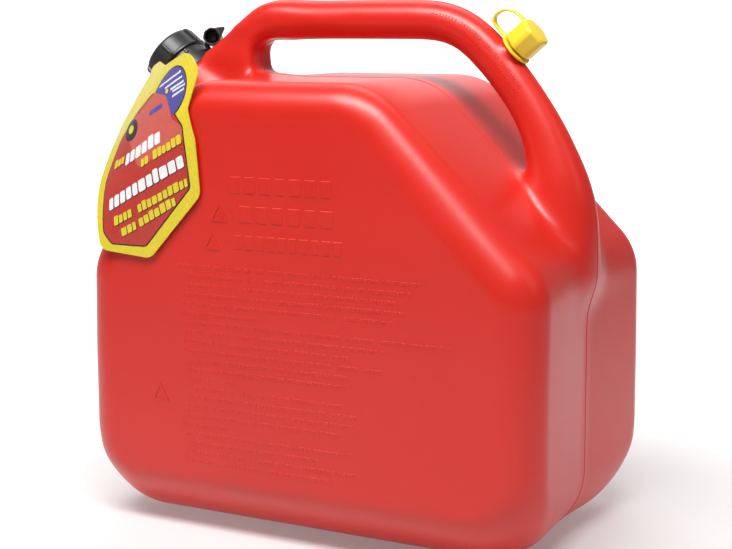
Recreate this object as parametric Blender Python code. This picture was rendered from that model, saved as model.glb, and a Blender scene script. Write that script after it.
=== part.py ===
"""Blow-moulded 20 litre fuel can: integral hollow handle, tilted screw neck with a stored pour spout,
vent nipple with a strapped hexagonal cap, tethered spout-tip cap and a hang tag.
Metres, +Z up. The can stands on z = 0, its length runs along X and its width along Y."""

import math

import bmesh
import bpy
from mathutils import Matrix, Vector

# Overall size of the tank.
LENGTH = 0.360
WIDTH = 0.224
HEIGHT = 0.380
DECK_Z = 0.325
WALL = 0.0025
BASE_RADIUS = 0.060
BASE_FILLET = 0.042
CORNER_FILLET = 0.026
DECK_FILLET = 0.021
CORNER_FADE_Z = 0.150
FRONT_SHOULDER_Z = 0.193
REAR_SHOULDER_Z = 0.200
FRONT_DECK_X = -0.091
REAR_DECK_X = 0.055

# Handle: a hollow tube in the plane Y = 0, from the neck root to the rear slope.
HANDLE_R = 0.0135
ROOT_HALF_WIDTH = 0.0142
ROOT_FILLET = 0.0105

# Neck: its axis lies in the plane Y = 0 and leans towards the front.
NECK_TILT = math.radians(51)
NECK_SEAT = Vector((-0.1533, 0.0, 0.3263))
NECK_R = 0.0190
NECK_BORE_R = 0.0165
NECK_RIM_H = 0.0163
NECK_FOOT_H = -0.0083
RING_RECESS_R = 0.0247
THREAD_PITCH = 0.00635
THREAD_DEPTH = 0.0013
THREAD_START_H = 0.0050
NECK_THREAD_TURNS = 1.5
COLLAR_THREAD_TURNS = 1.0
GAP = 0.0003

# Screw collar.
COLLAR_BOTTOM_H = 0.0012
COLLAR_SKIRT_H = 0.0093
COLLAR_SKIRT_R = 0.0220
COLLAR_TOP_H = 0.0260
COLLAR_LIP = 0.0025
COLLAR_R = 0.0232
COLLAR_WINDOW_R = 0.0150
COLLAR_BORE_R = 0.0212
COLLAR_RIBS = 6
RIB_HEIGHT = 0.0020
RIB_WIDTH = 0.0030

# Pieces clamped between the collar and the neck rim.
FLANGE_R = 0.0192
GASKET_T = 0.0015
FLANGE_T = 0.0020
SPOUT_R = 0.0140
SPOUT_TIP_R = 0.0085
SPOUT_LENGTH = 0.150
SPOUT_WALL = 0.0018

# Vent nipple on the rear slope of the handle.
VENT_TILT = math.radians(50)
VENT_SEAT = Vector((0.1150, 0.0, 0.3436))
NIPPLE_R = 0.0060
NIPPLE_BORE_R = 0.0032
NIPPLE_TOP_H = 0.0185
VENT_CAP_BOTTOM_H = 0.0060
VENT_CAP_TOP_H = 0.0230
VENT_CAP_FLATS = 0.0212
VENT_TRAVEL_CLEARANCE = 0.0004

# Cap that plugs the spout's tip; it hangs beside the neck with its mouth towards the near side.
TIP_CAP_R = 0.0066
TIP_CAP_WALL = 0.0012
TIP_CAP_DEPTH = 0.0115
TIP_CAP_AXIS = Vector((0.3803, -0.9108, 0.1601))
TIP_CAP_MOUTH = Vector((-0.1300, -0.0060, 0.3545))
TIP_CAP_TAB = Vector((0.80, 0.10, 0.62))
TIP_STRAP_W = 0.0044

STRAP_T = 0.0016
STRAP_W = 0.0060

# Hang tag: a card that follows the near face and bends back towards the neck.
TAG_T = 0.0008
TAG_FACE_Y = -0.1150
TAG_BEND_START = 0.242
TAG_BEND_END = 0.310
TAG_BEND_RATE = 9.5

ARC_STEP = math.radians(15)

NECK_AXIS = Vector((-math.sin(NECK_TILT), 0.0, math.cos(NECK_TILT)))
VENT_AXIS = Vector((math.sin(VENT_TILT), 0.0, math.cos(VENT_TILT)))

RED = (0.72, 0.045, 0.03, 1.0)
BLACK = (0.02, 0.02, 0.022, 1.0)
YELLOW = (0.90, 0.68, 0.03, 1.0)


def clear_scene():
    for obj in list(bpy.data.objects):
        bpy.data.objects.remove(obj, do_unlink=True)


def material(name, colour, roughness):
    mat = bpy.data.materials.get(name)
    if mat is None:
        mat = bpy.data.materials.new(name)
        mat.use_nodes = True
        shader = mat.node_tree.nodes["Principled BSDF"]
        shader.inputs["Base Color"].default_value = colour
        shader.inputs["Roughness"].default_value = roughness
    return mat


def finished(name, bm, look=None, matrix=None):
    """Turns a bmesh into a named object facing out; a piece without a look is a cutter or a guide."""
    bmesh.ops.remove_doubles(bm, verts=bm.verts, dist=1e-6)
    bmesh.ops.recalc_face_normals(bm, faces=bm.faces)
    mesh = bpy.data.meshes.new(name)
    bm.to_mesh(mesh)
    bm.free()
    obj = bpy.data.objects.new(name, mesh)
    bpy.context.scene.collection.objects.link(obj)
    if matrix is not None:
        obj.matrix_world = matrix
    if look is None:
        obj.hide_render = True
        obj.display_type = "WIRE"
    else:
        mesh.materials.append(look)
        mesh.shade_smooth()
        mesh.set_sharp_from_angle(angle=math.radians(35))
    return obj


def combine(target, other, operation):
    modifier = target.modifiers.new(f"{operation.lower()}_{other.name}", "BOOLEAN")
    modifier.object = other
    modifier.operation = operation
    modifier.solver = "EXACT"


def axis_matrix(origin, axis):
    """Local Z along the axis, local Y along world Y."""
    z = axis.normalized()
    y = Vector((0.0, 1.0, 0.0))
    x = y.cross(z)
    rotation = Matrix((x, y, z)).transposed().to_4x4()
    return Matrix.Translation(origin) @ rotation


def facing(origin, axis, across):
    """Local Z along the axis, local X as near as can be to the direction across."""
    z = axis.normalized()
    x = (across - z * across.dot(z)).normalized()
    return Matrix.Translation(origin) @ Matrix((x, z.cross(x), z)).transposed().to_4x4()


def put_origin_on(obj, frame):
    """Moves the origin to a joint's frame and leaves the shape where it is."""
    obj.data.transform(frame.inverted() @ obj.matrix_world)
    obj.matrix_world = frame


# World directions up the slope, square to each cap's axis.
NECK_UP = Vector((math.cos(NECK_TILT), 0.0, math.sin(NECK_TILT)))
VENT_UP = Vector((-math.cos(VENT_TILT), 0.0, math.sin(VENT_TILT)))
NECK_FRAME = axis_matrix(NECK_SEAT, NECK_AXIS)
VENT_FRAME = axis_matrix(VENT_SEAT, VENT_AXIS)
TIP_CAP_HINGE = axis_matrix(NECK_SEAT + NECK_UP * 0.0260 + NECK_AXIS * 0.0026, NECK_AXIS)
TAG_HINGE = axis_matrix(Vector((-0.1558, -0.0450, 0.3320)), NECK_UP)


def outline_points(corners, inset_of):
    """Closed anticlockwise outline of (x, z, radius, rim) corners; inset_of(rim) moves a corner inwards."""
    points = []
    for index, (x, z, radius, rim) in enumerate(corners):
        here = Vector((x, z))
        before = (here - Vector(corners[index - 1][:2])).normalized()
        after = (Vector(corners[(index + 1) % len(corners)][:2]) - here).normalized()
        turn = math.atan2(before.cross(after), before.dot(after))
        side = math.copysign(1.0, turn)
        normal = Vector((-before.y, before.x)) * side
        centre = here - before * radius * math.tan(abs(turn) / 2) + normal * radius
        start = math.atan2(-normal.y, -normal.x)
        arc_radius = radius - side * inset_of(rim)
        steps = max(1, round(abs(turn) / ARC_STEP)) if radius > 0.0 else 0
        for step in range(steps + 1):
            angle = start + turn * step / max(1, steps)
            points.append(centre + arc_radius * Vector((math.cos(angle), math.sin(angle))))
    return points


def slab(name, corners, half_width, wall=0.0, look=None, segments=3):
    """An outline in XZ carried across Y, with quarter-round rims of each corner's fourth value."""
    bm = bmesh.new()
    loops = []
    turns = [math.pi / 2 * k / segments for k in range(segments, -1, -1)]
    for sign, angles in ((-1.0, turns), (1.0, turns[::-1])):
        for angle in angles:
            points = outline_points(corners, lambda rim: wall + (rim - wall) * (1 - math.cos(angle)))
            widths = outline_widths(corners, half_width - wall, wall, angle)
            loops.append([bm.verts.new((p.x, sign * y, p.y)) for p, y in zip(points, widths)])
    for low, high in zip(loops, loops[1:]):
        for k in range(len(low)):
            bm.faces.new((low[k - 1], low[k], high[k], high[k - 1]))
    bm.faces.new(loops[0])
    bm.faces.new(list(reversed(loops[-1])))
    return finished(name, bm, look)


def outline_widths(corners, half_width, wall, angle):
    """Half width at each outline point for one step round the rim."""
    widths = []
    for index, (x, z, radius, rim) in enumerate(corners):
        before = Vector((x, z)) - Vector(corners[index - 1][:2])
        after = Vector(corners[(index + 1) % len(corners)][:2]) - Vector((x, z))
        turn = abs(math.atan2(before.cross(after), before.dot(after)))
        steps = max(1, round(turn / ARC_STEP)) if radius > 0.0 else 0
        widths += [half_width - (rim - wall) * (1 - math.sin(angle))] * (steps + 1)
    return widths


def lathe(name, profile, sides, look=None, frame=NECK_FRAME, closed=False, phase=0.0):
    """Turns (radius, height) points about local Z; an open profile gets a flat face at each end."""
    bm = bmesh.new()
    rings = []
    for radius, height in profile:
        angles = [2 * math.pi * (k + phase) / sides for k in range(sides)]
        rings.append([bm.verts.new((radius * math.cos(a), radius * math.sin(a), height)) for a in angles])
    pairs = list(zip(rings, rings[1:]))
    if closed:
        pairs.append((rings[-1], rings[0]))
    else:
        bm.faces.new(rings[0])
        bm.faces.new(list(reversed(rings[-1])))
    for low, high in pairs:
        for k in range(sides):
            bm.faces.new((low[k], low[(k + 1) % sides], high[(k + 1) % sides], high[k]))
    return finished(name, bm, look, frame)


def tube(name, stations, inset, sides=16):
    """A round tube through (x, z, radius) stations in the plane Y = 0, with flat ends."""
    bm = bmesh.new()
    rings = []
    for index, (x, z, radius) in enumerate(stations):
        here = Vector((x, 0.0, z))
        ahead = stations[min(index + 1, len(stations) - 1)]
        behind = stations[max(index - 1, 0)]
        along = Vector((ahead[0] - behind[0], 0.0, ahead[1] - behind[1])).normalized()
        side = Vector((0.0, 1.0, 0.0))
        up = along.cross(side)
        ring = []
        for k in range(sides):
            angle = 2 * math.pi * (k + 0.5) / sides
            spoke = math.cos(angle) * side + math.sin(angle) * up
            ring.append(bm.verts.new(here + (radius - inset) * spoke))
        rings.append(ring)
    for low, high in zip(rings, rings[1:]):
        for k in range(sides):
            bm.faces.new((low[k], low[(k + 1) % sides], high[(k + 1) % sides], high[k]))
    bm.faces.new(rings[0])
    bm.faces.new(list(reversed(rings[-1])))
    return finished(name, bm)


def thread(name, root_r, crest_r, start_h, turns, frame=NECK_FRAME, per_turn=24):
    """A helical ridge with a trapezoid section that fades in and out; its root is inside the wall."""
    bm = bmesh.new()
    sections = []
    count = round(turns * per_turn)
    for step in range(count + 1):
        fade = min(1.0, step / 4, (count - step) / 4)
        depth = (crest_r - root_r) * max(fade, 0.25)
        angle = 2 * math.pi * (step + 0.3) / per_turn
        centre = start_h + THREAD_PITCH * step / per_turn
        section = []
        for radius, height in (
            (root_r, -0.0013),
            (root_r + depth, -0.0005),
            (root_r + depth, 0.0005),
            (root_r, 0.0013),
        ):
            x, y = radius * math.cos(angle), radius * math.sin(angle)
            section.append(bm.verts.new((x, y, centre + height)))
        sections.append(section)
    for low, high in zip(sections, sections[1:]):
        for k in range(4):
            bm.faces.new((low[k], low[(k + 1) % 4], high[(k + 1) % 4], high[k]))
    bm.faces.new(sections[0])
    bm.faces.new(list(reversed(sections[-1])))
    return finished(name, bm, None, frame)


def ribbon(name, path, thickness, width, look):
    """A flat strap that follows (x, z) points in the plane Y = 0 of the world."""
    sides = ([], [])
    for index, here in enumerate(path):
        along = (path[min(index + 1, len(path) - 1)] - path[max(index - 1, 0)]).normalized()
        normal = Vector((-along.y, along.x)) * thickness / 2
        sides[0].append(here + normal)
        sides[1].append(here - normal)
    bm = bmesh.new()
    rows = []
    half = width / 2
    for a, b in zip(*sides):
        corners = ((a, -half), (a, half), (b, half), (b, -half))
        rows.append([bm.verts.new((p.x, y, p.y)) for p, y in corners])
    for low, high in zip(rows, rows[1:]):
        for k in range(4):
            bm.faces.new((low[k], low[(k + 1) % 4], high[(k + 1) % 4], high[k]))
    bm.faces.new(rows[0])
    bm.faces.new(list(reversed(rows[-1])))
    return finished(name, bm, look)


def body_corners():
    half = LENGTH / 2
    return [
        (-half, 0.0, BASE_RADIUS, BASE_FILLET),
        (half, 0.0, BASE_RADIUS, BASE_FILLET),
        (half, CORNER_FADE_Z, 0.0, CORNER_FILLET),
        (half - 0.0010, REAR_SHOULDER_Z, 0.045, CORNER_FILLET),
        (REAR_DECK_X, DECK_Z, 0.060, DECK_FILLET),
        (FRONT_DECK_X, DECK_Z, 0.034, DECK_FILLET),
        (-half + 0.0010, FRONT_SHOULDER_Z, 0.045, CORNER_FILLET),
        (-half, CORNER_FADE_Z, 0.0, CORNER_FILLET),
    ]


def root_corners():
    """Web between the handle, the neck and the deck; its right edge ends the finger opening."""
    top = HEIGHT - 0.0004
    low = DECK_Z - 0.0035
    under = HEIGHT - 2 * HANDLE_R
    rim = ROOT_FILLET
    return [
        (-0.118, 0.262, 0.014, rim),
        (-0.050, 0.275, 0.014, rim),
        (-0.050, low, 0.0115, rim),
        (-0.088, low, 0.0110, rim),
        (-0.088, under, 0.0140, rim),
        (-0.040, under, 0.0115, rim),
        (-0.040, top, 0.0115, rim),
        (-0.084, top, 0.036, rim),
        (-0.152, 0.3290, 0.020, rim),
        (-0.150, 0.300, 0.014, rim),
    ]


def handle_stations():
    centre = HEIGHT - HANDLE_R
    return [
        (-0.092, 0.3600, 0.0110),
        (-0.078, centre - 0.0008, 0.0128),
        (-0.060, centre, HANDLE_R),
        (0.048, centre, HANDLE_R),
        (0.060, 0.3655, HANDLE_R),
        (0.076, 0.3600, HANDLE_R),
        (0.092, 0.3490, HANDLE_R),
        (0.112, 0.3285, 0.0137),
        (0.130, 0.3045, 0.0142),
        (0.144, 0.2790, 0.0152),
        (0.155, 0.2500, 0.0170),
        (0.160, 0.2250, 0.0175),
        (0.158, 0.1950, 0.0165),
    ]


def neck_boss_profile(inset):
    """Cone that carries the neck, from its shoulder down into the front slope."""
    top = NECK_FOOT_H + 0.0008 - inset * 1.4
    return [
        (0.0235 - inset, top),
        (0.0250 - inset, top - 0.0015),
        (0.0340 - inset, -0.0860),
    ]


def make_can_body(look):
    """The whole blow-moulded tank: outer solids joined, then the inner ones cut out to leave one wall."""
    can = slab("can_body", body_corners(), WIDTH / 2, 0.0, look, segments=5)
    for piece in (
        slab("root_outer", root_corners(), ROOT_HALF_WIDTH),
        tube("handle_outer", handle_stations(), 0.0),
        lathe("boss_outer", neck_boss_profile(0.0), 40),
    ):
        combine(can, piece, "UNION")
    # Room for the tether ring round the foot of the neck.
    recess = [(RING_RECESS_R, NECK_FOOT_H), (RING_RECESS_R, 0.040)]
    combine(can, lathe("ring_recess", recess, 48), "DIFFERENCE")
    for piece in (
        lathe("neck_outer", [(NECK_R, -0.020), (NECK_R, NECK_RIM_H)], 48, phase=0.37),
        thread("neck_thread", NECK_R - 0.0006, NECK_R + THREAD_DEPTH, THREAD_START_H, NECK_THREAD_TURNS),
        lathe("nipple_seat", [(0.0098, -0.010), (0.0086, 0.0022)], 24, None, VENT_FRAME),
        lathe(
            "nipple_outer",
            [(NIPPLE_R, -0.008), (NIPPLE_R, NIPPLE_TOP_H - 0.002), (0.0052, NIPPLE_TOP_H)],
            24,
            None,
            VENT_FRAME,
        ),
    ):
        combine(can, piece, "UNION")
    root_inner = slab("root_inner", root_corners(), ROOT_HALF_WIDTH, WALL)
    under_recess = [(RING_RECESS_R + WALL, NECK_FOOT_H - WALL), (RING_RECESS_R + WALL, 0.045)]
    combine(root_inner, lathe("recess_floor", under_recess, 48), "DIFFERENCE")
    for piece in (
        slab("body_inner", body_corners(), WIDTH / 2, WALL, None, segments=5),
        root_inner,
        tube("handle_inner", handle_stations(), WALL),
        lathe("boss_inner", neck_boss_profile(WALL), 40),
        lathe("neck_bore", [(NECK_BORE_R, -0.030), (NECK_BORE_R, 0.030)], 48, phase=0.37),
        lathe("vent_bore", [(NIPPLE_BORE_R, -0.012), (NIPPLE_BORE_R, 0.030)], 16, None, VENT_FRAME),
    ):
        combine(can, piece, "DIFFERENCE")
    return can


def make_collar(look):
    """Cap ring with a window, six ribs and a thread that runs on the neck's thread."""
    bottom, top = COLLAR_BOTTOM_H, COLLAR_TOP_H
    profile = [
        (COLLAR_BORE_R, bottom),
        (COLLAR_SKIRT_R, bottom),
        (COLLAR_SKIRT_R, COLLAR_SKIRT_H),
        (COLLAR_R, COLLAR_SKIRT_H + 0.0006),
        (COLLAR_R, top - 0.0015),
        (COLLAR_R - 0.0015, top),
        (COLLAR_WINDOW_R, top),
        (COLLAR_WINDOW_R, top - COLLAR_LIP),
        (COLLAR_BORE_R, top - COLLAR_LIP),
    ]
    collar = lathe("screw_collar", profile, 48, look, closed=True)
    # The ridge starts midway between two turns of the neck's thread.
    ridge_start = THREAD_START_H + THREAD_PITCH / 2
    crest_r = COLLAR_BORE_R - THREAD_DEPTH + 0.0001
    ridge = thread("collar_thread", COLLAR_BORE_R + 0.0006, crest_r, ridge_start, COLLAR_THREAD_TURNS)
    combine(collar, ridge, "UNION")
    for index in range(COLLAR_RIBS):
        bm = bmesh.new()
        bmesh.ops.create_cube(bm, size=1.0)
        length = top - COLLAR_SKIRT_H - 0.0020
        bmesh.ops.scale(bm, vec=(RIB_HEIGHT + 0.0010, RIB_WIDTH, length), verts=bm.verts)
        middle = (COLLAR_R + RIB_HEIGHT / 2 - 0.0006, 0.0, (top + COLLAR_SKIRT_H) / 2)
        bmesh.ops.translate(bm, vec=middle, verts=bm.verts)
        angle = math.radians(-6) + 2 * math.pi * index / COLLAR_RIBS
        bmesh.ops.rotate(bm, matrix=Matrix.Rotation(angle, 3, "Z"), verts=bm.verts)
        combine(collar, finished(f"collar_rib_{index}", bm, None, NECK_FRAME), "UNION")
    return collar


def make_stack(yellow, rubber):
    """Gasket on the neck rim, the stored spout's flange on it, then the disc in the collar's window."""
    gasket_low = NECK_RIM_H + GAP
    flange_low = gasket_low + GASKET_T + GAP
    disc_low = flange_low + FLANGE_T + GAP
    disc_high = COLLAR_TOP_H - COLLAR_LIP - GAP
    lathe(
        "neck_gasket",
        [
            (NECK_BORE_R, gasket_low),
            (FLANGE_R, gasket_low),
            (FLANGE_R, gasket_low + GASKET_T),
            (NECK_BORE_R, gasket_low + GASKET_T),
        ],
        40,
        rubber,
        closed=True,
    )
    tip = flange_low - SPOUT_LENGTH
    wall = SPOUT_WALL
    lathe(
        "pour_spout",
        [
            (SPOUT_R - wall, flange_low + FLANGE_T),
            (SPOUT_TIP_R + 0.002 - wall, tip + 0.030),
            (SPOUT_TIP_R - wall, tip),
            (SPOUT_TIP_R, tip),
            (SPOUT_TIP_R + 0.002, tip + 0.030),
            (SPOUT_R, flange_low),
            (FLANGE_R, flange_low),
            (FLANGE_R, flange_low + FLANGE_T),
        ],
        32,
        yellow,
        closed=True,
    )
    window = COLLAR_WINDOW_R - 0.0005
    lathe(
        "stopper_disc",
        [
            (FLANGE_R, disc_low),
            (FLANGE_R, disc_high),
            (window, disc_high),
            (window, COLLAR_TOP_H - 0.0008),
        ],
        40,
        yellow,
    )


def make_tip_cap(look):
    """Ring on the neck under the collar, a short strap and the small cup that closes the spout's tip."""
    low, high = NECK_FOOT_H + GAP, 0.0005
    ring = [(0.0194, low), (0.0240, low), (0.0240, high), (0.0194, high)]
    lathe("tether_ring", ring, 40, look, closed=True)
    strap = []
    for radius, height in ((0.0248, -0.0020), (0.0250, 0.0000), (0.0252, 0.0014), (0.0256, 0.0024)):
        p = NECK_SEAT + NECK_UP * radius + NECK_AXIS * height
        strap.append(Vector((p.x, p.z)))
    put_origin_on(ribbon("tip_cap_strap", strap, 0.0012, TIP_STRAP_W, look), NECK_FRAME)
    radius, wall, depth = TIP_CAP_R, TIP_CAP_WALL, TIP_CAP_DEPTH
    frame = facing(TIP_CAP_MOUTH - TIP_CAP_AXIS * depth, TIP_CAP_AXIS, TIP_CAP_TAB)
    profile = [(radius, 0.0), (radius, depth), (radius - wall, depth), (radius - wall, 0.0016)]
    cup = lathe("tip_cap", profile, 24, look, frame)
    bm = bmesh.new()
    bmesh.ops.create_cube(bm, size=1.0)
    bmesh.ops.scale(bm, vec=(0.0065, 0.0060, 0.0014), verts=bm.verts)
    bmesh.ops.translate(bm, vec=(radius + 0.0028, 0.0, depth - 0.0012), verts=bm.verts)
    combine(cup, finished("tip_cap_tab", bm, None, frame), "UNION")
    put_origin_on(cup, TIP_CAP_HINGE)


def make_vent(look):
    """Hexagonal push-on cap, the ring that holds it on the nipple and the looped strap between them."""
    ring = [(0.0064, 0.0026), (0.0125, 0.0026), (0.0125, 0.0044), (0.0064, 0.0044)]
    lathe("vent_ring", ring, 32, look, VENT_FRAME, closed=True)
    corner_r = VENT_CAP_FLATS / math.sqrt(3)
    bottom, top = VENT_CAP_BOTTOM_H, VENT_CAP_TOP_H
    outer = [(corner_r, bottom), (corner_r, top - 0.0015), (corner_r - 0.0017, top)]
    cap = lathe("vent_cap", outer, 6, look, VENT_FRAME, phase=0.5)
    bore_r = NIPPLE_R + VENT_TRAVEL_CLEARANCE
    bore = [(bore_r, bottom - 0.003), (bore_r, NIPPLE_TOP_H + 0.0006)]
    combine(cap, lathe("vent_cap_bore", bore, 24, None, VENT_FRAME), "DIFFERENCE")
    loop = (
        (12.9, 3.5),
        (17.0, 3.0),
        (21.0, 2.6),
        (25.0, 3.2),
        (27.6, 6.2),
        (27.4, 11.0),
        (25.0, 15.6),
        (20.5, 18.9),
        (16.0, 20.0),
        (11.1, 20.2),
    )
    path = []
    for u, v in loop:
        p = VENT_SEAT + VENT_UP * u * 0.001 + VENT_AXIS * v * 0.001
        path.append(Vector((p.x, p.z)))
    put_origin_on(ribbon("vent_strap", path, STRAP_T, STRAP_W, look), VENT_FRAME)


def tag_depth(s):
    """World Y of the card at distance s along the neck's lean: flat, then a bend, then straight again."""
    if s <= TAG_BEND_START:
        return TAG_FACE_Y
    bent = min(s, TAG_BEND_END) - TAG_BEND_START
    beyond = max(0.0, s - TAG_BEND_END)
    return TAG_FACE_Y + TAG_BEND_RATE * bent * bent + 2 * TAG_BEND_RATE * bent * beyond


def make_hang_tag(card):
    """Die-cut card, in coordinates along the neck's lean (s) and along the front slope (e)."""
    corners = [
        (0.3200, 0.1120, 0.0220),
        (0.3280, 0.1400, 0.0080),
        (0.3295, 0.1535, 0.0010),
        (0.3350, 0.1560, 0.0025),
        (0.3270, 0.1685, 0.0100),
        (0.3080, 0.1810, 0.0015),
        (0.2865, 0.2140, 0.0220),
        (0.2650, 0.2140, 0.0090),
        (0.2545, 0.1880, 0.0040),
        (0.2360, 0.1760, 0.0100),
        (0.2090, 0.1480, 0.0100),
        (0.2135, 0.0840, 0.0100),
        (0.2500, 0.0590, 0.0100),
        (0.2920, 0.0840, 0.0140),
    ]
    outline = outline_points([(s, e, radius, 0.0) for s, e, radius in corners], lambda rim: rim)
    bm = bmesh.new()
    face = bm.faces.new([bm.verts.new((p.x, 0.0, p.y)) for p in outline])
    if face.normal.y > 0:
        face.normal_flip()
    for cut in range(1, 9):
        s = TAG_BEND_START + cut * 0.0110
        geometry = list(bm.verts) + list(bm.edges) + list(bm.faces)
        bmesh.ops.bisect_plane(bm, geom=geometry, plane_co=(s, 0.0, 0.0), plane_no=(1.0, 0.0, 0.0))
    for vert in bm.verts:
        s, e = vert.co.x, vert.co.z
        vert.co = NECK_AXIS * s + NECK_UP * e + Vector((0.0, tag_depth(s), 0.0))
    result = bmesh.ops.extrude_face_region(bm, geom=list(bm.faces))
    for item in result["geom"]:
        if isinstance(item, bmesh.types.BMVert):
            item.co.y += TAG_T
    bmesh.ops.triangulate(bm, faces=[f for f in bm.faces if len(f.verts) > 4])
    put_origin_on(finished("hang_tag", bm, card), TAG_HINGE)


def main():
    clear_scene()
    red = material("red_polyethylene", RED, 0.38)
    black = material("black_polypropylene", BLACK, 0.42)
    yellow = material("yellow_polypropylene", YELLOW, 0.35)
    rubber = material("gasket_rubber", (0.03, 0.03, 0.03, 1.0), 0.7)
    card = material("tag_card", (0.85, 0.70, 0.05, 1.0), 0.4)
    make_can_body(red)
    make_collar(black)
    make_stack(yellow, rubber)
    make_tip_cap(black)
    make_vent(yellow)
    make_hang_tag(card)


main()
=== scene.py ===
"""Looks of a blow-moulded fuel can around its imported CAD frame.

Blender units are metres with +Z up. Outlines, the tank's surface and the tag are worked out in mm, and MM
turns them into metres.
"""

import math
import random

import bmesh
import bpy
import numpy as np
from mathutils import Matrix, Vector


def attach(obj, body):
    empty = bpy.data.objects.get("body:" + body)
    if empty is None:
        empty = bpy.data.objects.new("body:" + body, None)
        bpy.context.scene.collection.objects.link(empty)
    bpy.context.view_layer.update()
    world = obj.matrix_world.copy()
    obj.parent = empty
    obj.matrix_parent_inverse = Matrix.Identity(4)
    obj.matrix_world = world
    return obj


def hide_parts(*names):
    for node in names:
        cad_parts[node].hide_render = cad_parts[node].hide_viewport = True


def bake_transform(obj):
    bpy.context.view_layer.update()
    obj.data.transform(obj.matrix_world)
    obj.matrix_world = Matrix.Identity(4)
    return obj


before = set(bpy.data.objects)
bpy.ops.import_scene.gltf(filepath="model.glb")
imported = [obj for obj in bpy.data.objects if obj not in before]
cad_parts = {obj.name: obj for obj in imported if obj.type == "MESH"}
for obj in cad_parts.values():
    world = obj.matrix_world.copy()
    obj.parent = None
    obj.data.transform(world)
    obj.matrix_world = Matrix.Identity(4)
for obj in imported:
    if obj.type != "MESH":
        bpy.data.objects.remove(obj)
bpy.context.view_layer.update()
MM = 0.001

# The neck and vent frames of the CAD: seat point and lean of each axis in the plane Y = 0.
NECK_TILT = math.radians(51)
NECK_SEAT = Vector((-0.1533, 0.0, 0.3263))
NECK_AXIS = Vector((-math.sin(NECK_TILT), 0.0, math.cos(NECK_TILT)))
NECK_UP = Vector((math.cos(NECK_TILT), 0.0, math.sin(NECK_TILT)))
VENT_TILT = math.radians(50)
VENT_SEAT = Vector((0.1150, 0.0, 0.3436))
VENT_AXIS = Vector((math.sin(VENT_TILT), 0.0, math.cos(VENT_TILT)))
VENT_UP = Vector((-math.cos(VENT_TILT), 0.0, math.sin(VENT_TILT)))
TIP_CAP_AXIS = Vector((0.3803, -0.9108, 0.1601))
TIP_CAP_MOUTH = Vector((-0.1300, -0.0060, 0.3545))
TIP_CAP_TAB = Vector((0.80, 0.10, 0.62))


def axis_frame(origin, axis):
    """Local Z along the axis, local Y along world Y."""
    z = axis.normalized()
    y = Vector((0.0, 1.0, 0.0))
    return Matrix.Translation(origin) @ Matrix((y.cross(z), y, z)).transposed().to_4x4()


def facing(origin, axis, across):
    """Local Z along the axis, local X as near as can be to the direction across."""
    z = axis.normalized()
    x = (across - z * across.dot(z)).normalized()
    return Matrix.Translation(origin) @ Matrix((x, z.cross(x), z)).transposed().to_4x4()


NECK_FRAME = axis_frame(NECK_SEAT, NECK_AXIS)
VENT_FRAME = axis_frame(VENT_SEAT, VENT_AXIS)


# ---------------------------------------------------------------- materials


class Look:
    """A Principled material with named helper nodes for procedural detail in object coordinates."""

    def __init__(self, name, colour, roughness):
        self.mat = bpy.data.materials.new(name)
        self.mat.use_nodes = True
        self.tree = self.mat.node_tree
        self.shader = self.tree.nodes["Principled BSDF"]
        self.shader.inputs["Base Color"].default_value = (*colour, 1.0)
        self.shader.inputs["Roughness"].default_value = roughness
        self.coords = self.tree.nodes.new("ShaderNodeTexCoord").outputs["Object"]

    def link(self, a, b):
        self.tree.links.new(a, b)

    def scaled(self, scale):
        node = self.tree.nodes.new("ShaderNodeMapping")
        node.inputs["Scale"].default_value = scale
        self.link(self.coords, node.inputs["Vector"])
        return node.outputs["Vector"]

    def noise(self, scale, detail=4.0, rough=0.55, stretch=(1.0, 1.0, 1.0)):
        node = self.tree.nodes.new("ShaderNodeTexNoise")
        node.inputs["Scale"].default_value = scale
        node.inputs["Detail"].default_value = detail
        node.inputs["Roughness"].default_value = rough
        self.link(self.scaled(stretch), node.inputs["Vector"])
        return node.outputs["Fac"]

    def spread(self, value, low, high, out_low=0.0, out_high=1.0):
        node = self.tree.nodes.new("ShaderNodeMapRange")
        node.inputs["From Min"].default_value = low
        node.inputs["From Max"].default_value = high
        node.inputs["To Min"].default_value = out_low
        node.inputs["To Max"].default_value = out_high
        self.link(value, node.inputs["Value"])
        return node.outputs["Result"]

    def math(self, operation, a, b):
        node = self.tree.nodes.new("ShaderNodeMath")
        node.operation = operation
        for socket, value in zip(node.inputs, (a, b)):
            if isinstance(value, (int, float)):
                socket.default_value = value
            else:
                self.link(value, socket)
        return node.outputs["Value"]

    def mix(self, factor, a, b):
        node = self.tree.nodes.new("ShaderNodeMix")
        node.data_type = "RGBA"
        self.link(factor, node.inputs["Factor"])
        for name, value in (("A", a), ("B", b)):
            socket = [s for s in node.inputs if s.name == name and s.type == "RGBA"][0]
            if isinstance(value, tuple):
                socket.default_value = (*value, 1.0)
            else:
                self.link(value, socket)
        return [s for s in node.outputs if s.type == "RGBA"][0]

    def colour(self, value):
        self.link(value, self.shader.inputs["Base Color"])

    def roughness(self, value):
        self.link(value, self.shader.inputs["Roughness"])

    def bumps(self, *layers):
        """Each layer is (height socket, strength, depth in metres)."""
        before = None
        for height, strength, depth in layers:
            node = self.tree.nodes.new("ShaderNodeBump")
            node.inputs["Strength"].default_value = strength
            node.inputs["Distance"].default_value = depth
            self.link(height, node.inputs["Height"])
            if before is not None:
                self.link(before, node.inputs["Normal"])
            before = node.outputs["Normal"]
        self.link(before, self.shader.inputs["Normal"])


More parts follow.
